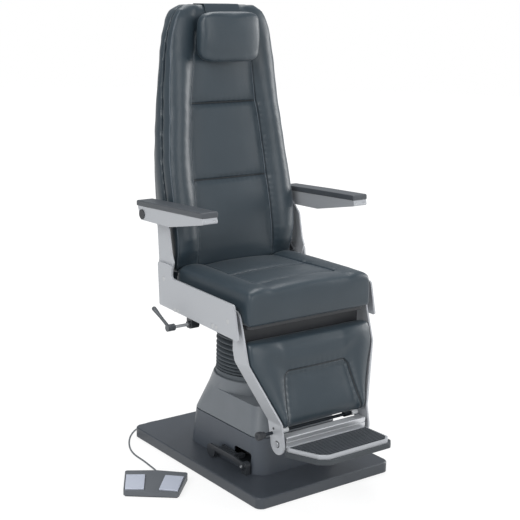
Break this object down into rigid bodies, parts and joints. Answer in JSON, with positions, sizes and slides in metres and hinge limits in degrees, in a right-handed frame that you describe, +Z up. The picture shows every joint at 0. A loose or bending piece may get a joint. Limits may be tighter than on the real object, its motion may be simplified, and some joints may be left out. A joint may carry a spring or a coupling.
{
  "type": "ophthalmic examination chair",
  "caption": "Motor-lift eye examination chair on a floor plate: swivel seat, reclining back with headrest, fold-up arms, swinging leg rest with footrest, and a wired foot switch.",
  "frame": {"origin": "on the floor under the axis of the lifting column, about which the seat turns", "axes": "+Z up, -Y the sitter's front, +X the sitter's left"},
  "size_m": [0.8546, 0.9387, 1.4503],
  "materials": {
    "upholstery": "smooth slate blue-grey leatherette",
    "silver_paint": "silver grey satin powder coat",
    "base_plastic": "dark grey fine grain",
    "cover_plastic": "mid grey fine grain",
    "bellows_rubber": "dark grey, matt",
    "black_plastic": "near black, fine grain",
    "black_metal": "black enamel",
    "mat_rubber": "ribbed black rubber",
    "steel": "grey primer on steel",
    "aluminium": "satin anodised aluminium",
    "ground_steel": "ground and oiled",
    "bush_plastic": "pale acetal",
    "box_plastic": "black moulded",
    "switch_plastic": "mid grey",
    "switch_pedal_plastic": "pale grey",
    "cable_plastic": "grey sheath"
  },
  "bodies": {
    "base": {"base_cover": "base_plastic", "base_plate": "steel", "floor_pads": "mat_rubber", "outer_column": "steel", "column_screws": "steel", "column_bush": "bush_plastic", "lift_actuator": "box_plastic", "control_box": "box_plastic", "lower_cover": "cover_plastic", "upper_cover": "cover_plastic", "bellows_collar": "bellows_rubber", "bellows": "bellows_rubber", "pedal_bracket": "black_metal", "switch_housing": "switch_plastic", "switch_base": "black_plastic", "cord_gland": "cable_plastic", "switch_cord": "cable_plastic"},
    "lift": {"inner_column": "ground_steel", "column_glide": "bush_plastic", "lift_rod": "ground_steel", "swivel_bearing": "ground_steel"},
    "seat": {"swivel_hub": "steel", "seat_frame": "steel", "seat_pan": "black_plastic", "frame_screws": "steel", "hinge_pins": "steel", "seat_cushion": "upholstery", "lever_bracket": "black_metal", "side_plate_left": "silver_paint", "side_plate_right": "silver_paint", "arm_post_left": "silver_paint", "arm_post_right": "silver_paint"},
    "lever": {"clamp_lever": "black_metal", "clamp_stud": "ground_steel"},
    "backrest": {"back_frame": "steel", "back_cushion": "upholstery", "back_shell": "upholstery", "headrest_strap": "upholstery"},
    "headrest": {"headrest_pillow": "upholstery"},
    "leg_rest": {"leg_bar_left": "silver_paint", "leg_bar_right": "silver_paint", "leg_board": "steel", "leg_cushion": "upholstery", "foot_pins": "steel", "rod_collars": "bush_plastic"},
    "lock": {"lock_rod": "ground_steel", "rod_knob": "black_plastic"},
    "footrest": {"footrest_profile": "aluminium", "footrest_tray": "silver_paint", "footrest_mat": "mat_rubber", "footrest_bumper": "mat_rubber"},
    "armrest_left": {"arm_bracket_left": "silver_paint", "arm_pad_left": "black_plastic", "arm_cap_left": "black_plastic"},
    "armrest_right": {"arm_bracket_right": "silver_paint", "arm_pad_right": "black_plastic", "arm_cap_right": "black_plastic"},
    "pedal": {"brake_pedal": "black_metal"},
    "switch_left": {"switch_pedal_left": "switch_pedal_plastic"},
    "switch_right": {"switch_pedal_right": "switch_pedal_plastic"}
  },
  "joints": [
    {"name": "seat_height", "type": "slide", "parent": "base", "child": "lift", "axis": [0, 0, 1], "range_m": [-0.08, 0.12], "deforming": ["bellows"]},
    {"name": "seat_swivel", "type": "hinge", "parent": "lift", "child": "seat", "pos_m": [0, 0, 0.49], "axis": [0, 0, 1], "continuous": true},
    {"name": "clamp_turn", "type": "hinge", "parent": "seat", "child": "lever", "pos_m": [-0.307, 0.035, 0.47], "axis": [1, 0, 0], "range_deg": [-45, 45]},
    {"name": "back_recline", "type": "hinge", "parent": "seat", "child": "backrest", "pos_m": [0, 0.135, 0.6], "axis": [-1, 0, 0], "range_deg": [0, 50]},
    {"name": "headrest_slide", "type": "slide", "parent": "backrest", "child": "headrest", "axis": [0, 0.0349, 0.9994], "range_m": [-0.08, 0]},
    {"name": "leg_rest_swing", "type": "hinge", "parent": "seat", "child": "leg_rest", "pos_m": [0, -0.218, 0.545], "axis": [-1, 0, 0], "range_deg": [0, 75]},
    {"name": "lock_turn", "type": "hinge", "parent": "leg_rest", "child": "lock", "pos_m": [0, -0.315, 0.207], "axis": [1, 0, 0], "range_deg": [0, 45]},
    {"name": "footrest_fold", "type": "hinge", "parent": "leg_rest", "child": "footrest", "pos_m": [0, -0.341, 0.179], "axis": [-1, 0, 0], "range_deg": [0, 50]},
    {"name": "armrest_left_lift", "type": "hinge", "parent": "seat", "child": "armrest_left", "pos_m": [0.29, 0.1835, 0.805], "axis": [-1, 0, 0], "range_deg": [0, 90]},
    {"name": "armrest_right_lift", "type": "hinge", "parent": "seat", "child": "armrest_right", "pos_m": [-0.29, 0.1835, 0.805], "axis": [-1, 0, 0], "range_deg": [0, 90]},
    {"name": "brake_pedal_lift", "type": "hinge", "parent": "base", "child": "pedal", "pos_m": [-0.195, -0.201, 0.066], "axis": [1, 0, 0], "range_deg": [0, 6]},
    {"name": "switch_left_press", "type": "hinge", "parent": "base", "child": "switch_left", "pos_m": [-0.36536, -0.07952, 0.022], "axis": [0.712, -0.7022, 0], "range_deg": [0, 3], "stiffness_Nm_per_rad": 1.5, "springref_deg": -11.46},
    {"name": "switch_right_press", "type": "hinge", "parent": "base", "child": "switch_right", "pos_m": [-0.4586, -0.00429, 0.022], "axis": [0.8368, -0.5476, 0], "range_deg": [0, 3], "stiffness_Nm_per_rad": 1.5, "springref_deg": -11.46}
  ]
}
